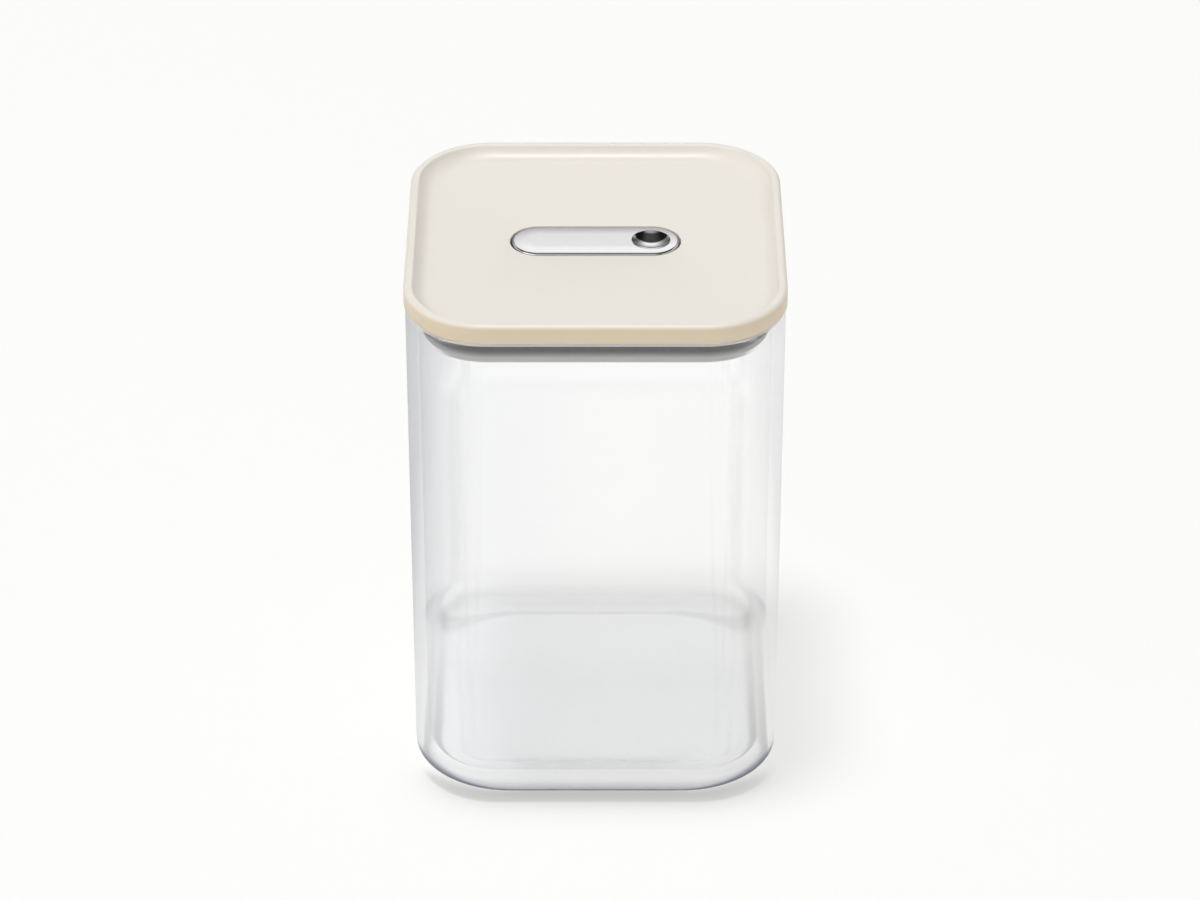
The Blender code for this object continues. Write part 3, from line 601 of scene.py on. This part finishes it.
def cream_finish():
    """Moulded cream plastic with a fine satin grain, painted darker and warmer as shade on the
    lid's outer sides.
    """
    material, tree, shader = new_material("cream_plastic")
    cloud = noise(tree, CREAM_CLOUD_SCALE, detail=3.0)
    shaded_upright = mixed(tree, cloud, *CREAM_SHADED_UPRIGHT)
    flat = mixed(tree, cloud, *CREAM_FLAT)
    # Painted shade: upright faces outside the rim take the darker, warmer colour
    side = ranged(tree, coordinates(tree, "Normal")[2], *CREAM_SHADE_RUN, 1.0, 0.0, "LINEAR")
    reach = corner_reach(tree, coordinates(tree, "Object"), LID_HALF, LID_CORNER)
    outside = ranged(tree, reach, *CREAM_OUTSIDE_RUN, CREAM_INSIDE_SHARE, 1.0)
    tree.links.new(mixed(tree, times(tree, side, outside), flat, shaded_upright),
                   shader.inputs["Base Color"])
    satin(tree, cloud, *CREAM_ROUGHNESS)
    grain(tree, noise(tree, CREAM_GRAIN_SCALE), CREAM_GRAIN_DEPTH, CREAM_GRAIN_STRENGTH)
    return material


def silicone_finish():
    """Grey silicone: its upper band painted dark as shade under the lid, paler on its lip."""
    material, tree, shader = new_material("grey_silicone")
    shader.inputs["Specular IOR Level"].default_value = SILICONE_GLOSS
    cloud = noise(tree, SILICONE_SCALE)
    z = coordinates(tree, "Object")[2]
    # Painted shade: the upper band turns dark towards the lid
    shade_mask = ranged(tree, z, *SILICONE_SHADE_RUN)
    pale = mixed(tree, cloud, *SILICONE_PALE)
    shaded_band = mixed(tree, cloud, *SILICONE_SHADED)
    tree.links.new(mixed(tree, shade_mask, pale, shaded_band), shader.inputs["Base Color"])
    satin(tree, cloud, *SILICONE_ROUGHNESS)
    grain(tree, cloud, SILICONE_GRAIN_DEPTH, GRAIN_STRENGTH)
    return material


def chrome_finish():
    """Polished plate with the faintest polishing haze."""
    material, tree, shader = new_material("polished_chrome")
    shader.inputs["Metallic"].default_value = 1.0
    haze = noise(tree, CHROME_SCALE, detail=3.0)
    tree.links.new(mixed(tree, haze, *CHROME_COLOURS), shader.inputs["Base Color"])
    satin(tree, haze, *CHROME_ROUGHNESS)
    return material


def steel_finish():
    """Turned stainless steel."""
    material, tree, shader = new_material("stainless_steel")
    shader.inputs["Metallic"].default_value = 1.0
    turned = noise(tree, STEEL_SCALE)
    tree.links.new(mixed(tree, turned, *STEEL_COLOURS), shader.inputs["Base Color"])
    satin(tree, turned, *STEEL_ROUGHNESS)
    grain(tree, turned, FINE_GRAIN_DEPTH, GRAIN_STRENGTH)
    return material


def acetal_finish():
    """White bearing plastic."""
    material, tree, shader = new_material("white_acetal")
    cloud = noise(tree, ACETAL_CLOUD_SCALE)
    tree.links.new(mixed(tree, cloud, *ACETAL_COLOURS), shader.inputs["Base Color"])
    satin(tree, cloud, *ACETAL_ROUGHNESS)
    grain(tree, noise(tree, ACETAL_GRAIN_SCALE), FINE_GRAIN_DEPTH, GRAIN_STRENGTH)
    return material


def cut(piece, tool, operation="DIFFERENCE"):
    """Cut a tool body out of a piece, or join it on, and remove the tool."""
    modifier = piece.modifiers.new("cut", "BOOLEAN")
    modifier.operation = operation
    modifier.solver = "EXACT"
    modifier.object = tool
    bpy.ops.object.select_all(action="DESELECT")
    bpy.context.view_layer.objects.active = piece
    piece.select_set(True)
    bpy.ops.object.modifier_apply(modifier="cut")
    bpy.data.objects.remove(tool, do_unlink=True)


def soften(piece, width, segments, angle):
    """Round the edges that are sharper than an angle, then shade the piece smooth."""
    modifier = piece.modifiers.new("soften", "BEVEL")
    modifier.width = width
    modifier.segments = segments
    modifier.limit_method = "ANGLE"
    modifier.angle_limit = angle
    modifier.harden_normals = True
    bpy.ops.object.select_all(action="DESELECT")
    bpy.context.view_layer.objects.active = piece
    piece.select_set(True)
    bpy.ops.object.modifier_apply(modifier="soften")
    bpy.ops.object.shade_smooth_by_angle(angle=SMOOTH_ANGLE)


def shaft(radius, low, high, place=(0, 0)):
    """A round tool body between two heights."""
    bpy.ops.object.select_all(action="DESELECT")
    bpy.ops.mesh.primitive_cylinder_add(vertices=SHAFT_SEGMENTS, radius=radius, depth=high - low)
    tool = bpy.context.object
    bpy.ops.object.mode_set(mode="EDIT")
    bpy.ops.transform.translate(value=(place[0], place[1], (low + high) / 2))
    bpy.ops.object.mode_set(mode="OBJECT")
    return tool


def block(low, high):
    """A box tool body between two corners."""
    bpy.ops.object.select_all(action="DESELECT")
    bpy.ops.mesh.primitive_cube_add(size=1)
    tool = bpy.context.object
    bpy.ops.object.mode_set(mode="EDIT")
    bpy.ops.transform.resize(value=[b - a for a, b in zip(low, high)])
    bpy.ops.transform.translate(value=[(a + b) / 2 for a, b in zip(low, high)])
    bpy.ops.object.mode_set(mode="OBJECT")
    return tool


def model_jar():
    """Glass jar: foot ring, rounded base, walls, fire-polished rim and rounded floor."""
    foot_half = JAR_HALF - BASE_ROUND
    push_up = []
    for step in range(PUSH_UP_STEPS, -1, -1):
        share = step / PUSH_UP_STEPS
        push_up.append((FOOT_WIDTH + PUSH_UP_SLOPE * share,
                        DRAFT + (PUSH_UP_HEIGHT - DRAFT) * (1 - cos(pi * share)) / 2))
    foot = square_outlines(foot_half, FOOT_CORNER, push_up)
    base = []
    for inset, height in arc((BASE_ROUND, BASE_ROUND), (BASE_ROUND, BASE_ROUND), 270, 180, 16):
        corner = JAR_CORNER + (FOOT_CORNER - JAR_CORNER) * inset / BASE_ROUND
        base.append((JAR_HALF - inset, JAR_HALF - inset, corner, height))
    rim_radius = JAR_WALL / 2
    rim = arc((rim_radius, JAR_TOP - rim_radius), (rim_radius, rim_radius), 180, 0, 16)
    floor = arc((JAR_WALL + FLOOR_ROUND, FLOOR_HEIGHT + FLOOR_ROUND),
                (FLOOR_ROUND, FLOOR_ROUND), 180, 270, 12)
    inside = square_outlines(JAR_HALF, JAR_CORNER, rim + floor)
    return skin("jar", foot + base + inside)


def model_cover():
    """Lid cover: rolled rim, coved tray, pill slot and skirt."""
    rim_inner = RIM_ROUND + RIM_FLAT
    panel_top = LID_TOP - TRAY_DEPTH
    panel_under = panel_top - PANEL_WALL
    outline = [(SKIRT_CHAMFER, LID_BASE), (0, LID_BASE + SKIRT_CHAMFER)]
    outline += arc((RIM_ROUND, LID_TOP - RIM_ROUND), (RIM_ROUND, RIM_ROUND), 180, 90)
    edge_low = LID_TOP - DRAFT - RIM_INNER_ROUND
    outline += arc((rim_inner - RIM_INNER_ROUND, edge_low), (RIM_INNER_ROUND, RIM_INNER_ROUND),
                   90, COVE_SLANT, 4)
    start, height = outline[-1]
    run = TRAY_COVE / cos(radians(COVE_SLANT))
    drop = (height - panel_top) / (1 - sin(radians(COVE_SLANT)))
    cove = arc((start + TRAY_COVE, panel_top + drop), (run, drop), 180 + COVE_SLANT, 270, 14)
    outline += cove[1:]
    slot = arc((-SLOT_ROUND, panel_top - DRAFT - SLOT_ROUND), (SLOT_ROUND, SLOT_ROUND), 90, 0, 3)
    slot.append((0, panel_under))
    skirt = [(SKIRT_WALL, panel_under + DRAFT), (SKIRT_WALL, LID_BASE + DRAFT)]
    outlines = square_outlines(LID_HALF, LID_CORNER, outline)
    outlines += pill_outlines(LEVER_HIGH.x + LEVER_GAP, LEVER_HIGH.y + LEVER_GAP, slot)
    outlines += square_outlines(LID_HALF, LID_CORNER, skirt)
    cover = skin("cover", outlines, ring_shaped=True)
    post_end = panel_under - POST_LENGTH
    for x in (-POST_PLACE, POST_PLACE):
        for y in (-POST_PLACE, POST_PLACE):
            cut(cover, shaft(POST_RADIUS, post_end, panel_under + PANEL_WALL / 2, (x, y)), "UNION")
            cut(cover, shaft(SCREW_BORE, post_end - OVERRUN, post_end + PILOT_LENGTH, (x, y)))
    return cover


def model_gasket():
    """Gasket: an upright band that meets the glass, drawn in towards the plate."""
    band_end = GASKET_HIGH.z - GASKET_BAND
    outer = [(GASKET_ROUND, GASKET_HIGH.z)]
    outer += arc((GASKET_ROUND, GASKET_HIGH.z - GASKET_ROUND), (GASKET_ROUND, GASKET_ROUND),
                 90, 180, 6)[1:]
    lip_end = GASKET_LOW.z - LIP_REACH
    outer += arc((LIP_OUTER, band_end), (LIP_OUTER, band_end - GASKET_LOW.z),
                 180, LIP_OUTER_END)
    outer += arc((LIP_INNER, lip_end + LIP_ROUND), (LIP_INNER - LIP_OUTER, LIP_ROUND), 180, 270, 4)
    outer.append((LIP_INNER + DRAFT, GASKET_LOW.z))
    inner = [(GASKET_WIDTH, GASKET_LOW.z + DRAFT), (GASKET_WIDTH, GASKET_HIGH.z - DRAFT)]
    corner = JAR_CORNER - JAR_WALL - GAP
    return skin("gasket_ring", square_outlines(GASKET_HIGH.x, corner, outer + inner), True)


def model_plate():
    """Pressure plate: rounded rim, pill boss nested round the lever well, screw hub."""
    top = PLATE_HIGH_RIM
    under = top - PLATE_THICKNESS
    boss_top = PLATE_LOW.z + BOSS_FLOOR
    nest = [(DRAFT, boss_top), (0, top)]
    edge = arc((PLATE_ROUND, top - DRAFT - PLATE_ROUND), (PLATE_ROUND, PLATE_ROUND), 90, 180, 6)
    edge += arc((PLATE_LOW_ROUND, under + PLATE_LOW_ROUND), (PLATE_LOW_ROUND, PLATE_LOW_ROUND),
                180, 270, 8)
    boss = [(-BOSS_WALL - BOSS_ROUND, under + DRAFT)]
    boss += arc((-BOSS_WALL - BOSS_ROUND, under - BOSS_ROUND), (BOSS_ROUND, BOSS_ROUND),
                90, 0, 5)[1:]
    boss += arc((BOSS_ROUND - BOSS_WALL, PLATE_LOW.z + BOSS_ROUND), (BOSS_ROUND, BOSS_ROUND),
                180, 270, 5)
    outlines = pill_outlines(NEST_HALF_LENGTH, NEST_HALF_WIDTH, nest)
    outlines += square_outlines(PLATE_HIGH.x, PLATE_CORNER, edge)
    outlines += pill_outlines(NEST_HALF_LENGTH, NEST_HALF_WIDTH, boss)
    plate = skin("plate", outlines)
    cut(plate, shaft(HUB_RADIUS, boss_top - BOSS_FLOOR / 2, PLATE_HIGH.z), "UNION")
    ceiling = PLATE_HIGH.z - HUB_ROOF
    cut(plate, shaft(SCREW_HEAD_BORE, PLATE_LOW.z - OVERRUN, ceiling))
    cut(plate, shaft(SCREW_BORE, ceiling - OVERRUN, PLATE_HIGH.z + OVERRUN))
    bpy.ops.object.shade_smooth_by_angle(angle=SMOOTH_ANGLE)
    return plate


def model_cheek(name, low_y, high_y):
    """One cam cheek: a block cut to the cam's slope, its heel rounded."""
    under = LEVER_HIGH.z - LEVER_THICKNESS
    heel = PIN_HEIGHT - CAM_HEIGHT
    cheek = block((-CHEEK_HEEL, low_y, heel), (CHEEK_TOE, high_y, under + OVERRUN))
    cheek.name = name
    bpy.ops.object.mode_set(mode="EDIT")
    bpy.ops.mesh.select_all(action="SELECT")
    bpy.ops.mesh.bisect(plane_co=(-CAM_RATE, 0, heel),
                        plane_no=(sin(CAM_SLOPE), 0, -cos(CAM_SLOPE)),
                        use_fill=True, clear_outer=True)
    shape = bmesh.from_edit_mesh(cheek.data)
    for edge in shape.edges:
        ends = [vert.co for vert in edge.verts]
        along_y = abs(ends[0].y - ends[1].y) > CHEEK_OUTER - CHEEK_INNER - OVERRUN
        edge.select_set(along_y and max(end.z for end in ends) < under)
    bmesh.update_edit_mesh(cheek.data)
    bpy.ops.mesh.bevel(offset=CHEEK_ROUND, segments=5, affect="EDGES")
    bpy.ops.object.mode_set(mode="OBJECT")
    return cheek


def model_lever():
    """Cast lever: rolled and crowned pill, finger dish, cam cheeks, eye pocket, finger grip."""
    top = LEVER_HIGH.z
    under = top - LEVER_THICKNESS
    shoulder = top - LEVER_CROWN
    profile = arc((LEVER_UNDER_ROUND, under + LEVER_UNDER_ROUND),
                  (LEVER_UNDER_ROUND, LEVER_UNDER_ROUND), 270, 180, 5)
    profile += arc((LEVER_ROUND, shoulder - LEVER_ROUND), (LEVER_ROUND, LEVER_ROUND),
                   180, LEVER_ROUND_END, 12)
    for step in range(1, CROWN_STEPS + 1):
        share = step / CROWN_STEPS
        profile.append((LEVER_ROUND + share * LEVER_CROWN_RUN,
                        shoulder + LEVER_CROWN * (1 - (1 - share) ** 2)))
    lever = skin("lever_top", pill_outlines(LEVER_HIGH.x, LEVER_HIGH.y, profile))
    half = DISH_WIDTH / 2
    radius = (half * half + DISH_DEPTH * DISH_DEPTH) / (2 * DISH_DEPTH)
    bpy.ops.object.select_all(action="DESELECT")
    bpy.ops.mesh.primitive_uv_sphere_add(segments=DISH_SEGMENTS, ring_count=DISH_RINGS,
                                         radius=radius,
                                         location=(DISH_PLACE, 0, top - DISH_DEPTH + radius))
    cut(lever, bpy.context.object)
    cut(lever, model_cheek("front_cheek", -CHEEK_OUTER, -CHEEK_INNER), "UNION")
    cut(lever, model_cheek("back_cheek", CHEEK_INNER, CHEEK_OUTER), "UNION")
    cut(lever, block((-EYE_POCKET_HALF, -CHEEK_INNER, under - OVERRUN),
                     (EYE_POCKET_HALF, CHEEK_INNER, top - EYE_POCKET_ROOF)))
    pin_bore = shaft(PIN_BORE, -CHEEK_OUTER - OVERRUN, CHEEK_OUTER + OVERRUN)
    bpy.ops.object.mode_set(mode="EDIT")
    bpy.ops.transform.rotate(value=radians(90), orient_axis="X", center_override=(0, 0, 0))
    bpy.ops.transform.translate(value=(0, 0, PIN_HEIGHT))
    bpy.ops.object.mode_set(mode="OBJECT")
    cut(lever, pin_bore)
    slant = (GRIP_DEPTH * GRIP_SLANT_SHARE, under + GRIP_DEPTH * (1 - GRIP_SLANT_SHARE))
    grip_profile = [(0, under - OVERRUN), (0, under), slant, (GRIP_DEPTH, under + GRIP_DEPTH)]
    grip = skin("grip", pill_outlines(GRIP_LENGTH / 2, GRIP_WIDTH / 2, grip_profile))
    bpy.ops.object.mode_set(mode="EDIT")
    bpy.ops.mesh.select_all(action="SELECT")
    bpy.ops.transform.translate(value=(GRIP_PLACE, 0, 0))
    bpy.ops.object.mode_set(mode="OBJECT")
    cut(lever, grip)
    soften(lever, LEVER_SOFT_EDGE, 2, LEVER_SOFT_ANGLE)
    return lever


def studio():
    """Pale floor: what is seen of it is part light of its own, so it stays even."""
    bpy.ops.object.select_all(action="DESELECT")
    bpy.ops.mesh.primitive_plane_add(size=FLOOR_SIZE)
    floor = bpy.context.object
    floor.name = "studio_floor"
    material, tree, shader = new_material("studio_floor")
    shader.inputs["Base Color"].default_value = FLOOR_COLOUR
    shader.inputs["Roughness"].default_value = 1.0
    shader.inputs["Specular IOR Level"].default_value = 0.0
    glow = tree.nodes.new("ShaderNodeEmission")
    glow.inputs["Color"].default_value = FLOOR_GLOW
    path = tree.nodes.new("ShaderNodeLightPath")
    seen = calc(tree, "MAXIMUM", path.outputs["Is Camera Ray"], path.outputs["Is Transmission Ray"])
    seen = calc(tree, "MAXIMUM", seen, path.outputs["Is Glossy Ray"])
    both = tree.nodes.new("ShaderNodeMixShader")
    tree.links.new(calc(tree, "MULTIPLY", seen, FLOOR_GLOW_SHARE), both.inputs["Fac"])
    tree.links.new(shader.outputs["BSDF"], both.inputs[1])
    tree.links.new(glow.outputs["Emission"], both.inputs[2])
    tree.links.new(both.outputs["Shader"], tree.nodes["Material Output"].inputs["Surface"])
    floor.data.materials.append(material)


def surround():
    """World: white to the eye, an even room to matt surfaces, a bright band low at the back to
    polished ones, and a pale room through the glass."""
    world = bpy.data.worlds.new("studio")
    bpy.context.scene.world = world
    world.use_nodes = True
    tree = world.node_tree
    x, y, z = coordinates(tree, "Generated")
    turn = calc(tree, "DIVIDE", calc(tree, "ARCTAN2", z, y), pi)
    bands = tree.nodes.new("ShaderNodeValToRGB")
    ramp = bands.color_ramp
    for share, value in POLISHED_ROOM:
        ramp.elements.new(share).color = (value, value, value, 1)
    ramp.elements.remove(ramp.elements[0])
    ramp.elements.remove(ramp.elements[-1])
    tree.links.new(turn, bands.inputs["Fac"])
    left = ranged(tree, x, *POLISHED_LEFT)
    right = ranged(tree, x, *POLISHED_RIGHT)
    side = times(tree, ranged(tree, calc(tree, "ABSOLUTE", x), *POLISHED_SIDE),
                 ranged(tree, z, *POLISHED_SIDE_HEIGHT))
    polished = calc(tree, "MAXIMUM", times(tree, bands.outputs["Color"], left, right), side)
    through = ranged(tree, calc(tree, "SUBTRACT", z, y), *THROUGH_ROOM)
    seen = tree.nodes.new("ShaderNodeLightPath")
    strength = number_mix(tree, seen.outputs["Is Glossy Ray"], ROOM_LIGHT, polished)
    strength = number_mix(tree, seen.outputs["Is Transmission Ray"], strength, through)
    strength = number_mix(tree, seen.outputs["Is Camera Ray"], strength, 1.0)
    tree.links.new(strength, tree.nodes["Background"].inputs["Strength"])
    tree.nodes["Background"].inputs["Color"].default_value = (1, 1, 1, 1)


def lamp(name, place, size, power, glossy=True):
    """A square soft lamp that points at the object."""
    light = bpy.data.lights.new(name, "AREA")
    light.shape = "RECTANGLE"
    light.size, light.size_y = size
    light.energy = power
    lamp_object = bpy.data.objects.new(name, light)
    bpy.context.collection.objects.link(lamp_object)
    lamp_object.location = place
    away = Vector(place) - Vector(LAMP_AIM)
    lamp_object.rotation_euler = away.to_track_quat("Z", "Y").to_euler()
    lamp_object.visible_glossy = glossy
    return lamp_object


def camera():
    """Camera at the photograph's angle, fitted to the outlines of the lid and the glass."""
    data = bpy.data.cameras.new("camera")
    data.lens = CAMERA_LENS
    data.sensor_width = CAMERA_SENSOR
    data.shift_x = CAMERA_SHIFT
    view = bpy.data.objects.new("camera", data)
    bpy.context.collection.objects.link(view)
    back = Vector((0, -cos(CAMERA_ELEVATION), sin(CAMERA_ELEVATION)))
    view.location = Vector((0, 0, CAMERA_AIM)) + back * CAMERA_DISTANCE
    view.rotation_euler = back.to_track_quat("Z", "Y").to_euler()
    bpy.context.scene.camera = view


glass = glass_finish()
cream = cream_finish()
silicone = silicone_finish()
chrome = chrome_finish()
steel = steel_finish()
acetal = acetal_finish()

dress(model_jar(), glass, "jar", "clear_glass", "glass_jar")
dress(model_cover(), cream, "lid", "cream_plastic", "lid_cover")
dress(model_gasket(), silicone, "lid", "grey_silicone", "gasket")
dress(model_plate(), cream, "plate", "cream_plastic", "pressure_plate")
dress(model_lever(), chrome, "lever", "polished_chrome", "lever")

finishes = {"clear_glass": glass, "cream_plastic": cream, "grey_silicone": silicone,
            "polished_chrome": chrome, "stainless_steel": steel, "white_acetal": acetal}
for row in frame["record"]["subparts"]:
    node = frame["nodes"][row["node"]]
    for slot in node.material_slots:
        slot.material = finishes[row["material_slot"]]

studio()
surround()
lamp("key", *KEY, glossy=False)
lamp("fill", *FILL)
sheen = lamp("sheen", *SHEEN)
sheen.visible_diffuse = False
lid_only = bpy.data.collections.new("lid_only")
lid_only.objects.link(bpy.data.objects["cover"])
sheen.light_linking.receiver_collection = lid_only
camera()

scene = bpy.context.scene
scene.view_settings.view_transform = "Standard"
scene.cycles.max_bounces = BOUNCES
scene.cycles.glossy_bounces = GLASS_BOUNCES
scene.cycles.transmission_bounces = GLASS_BOUNCES
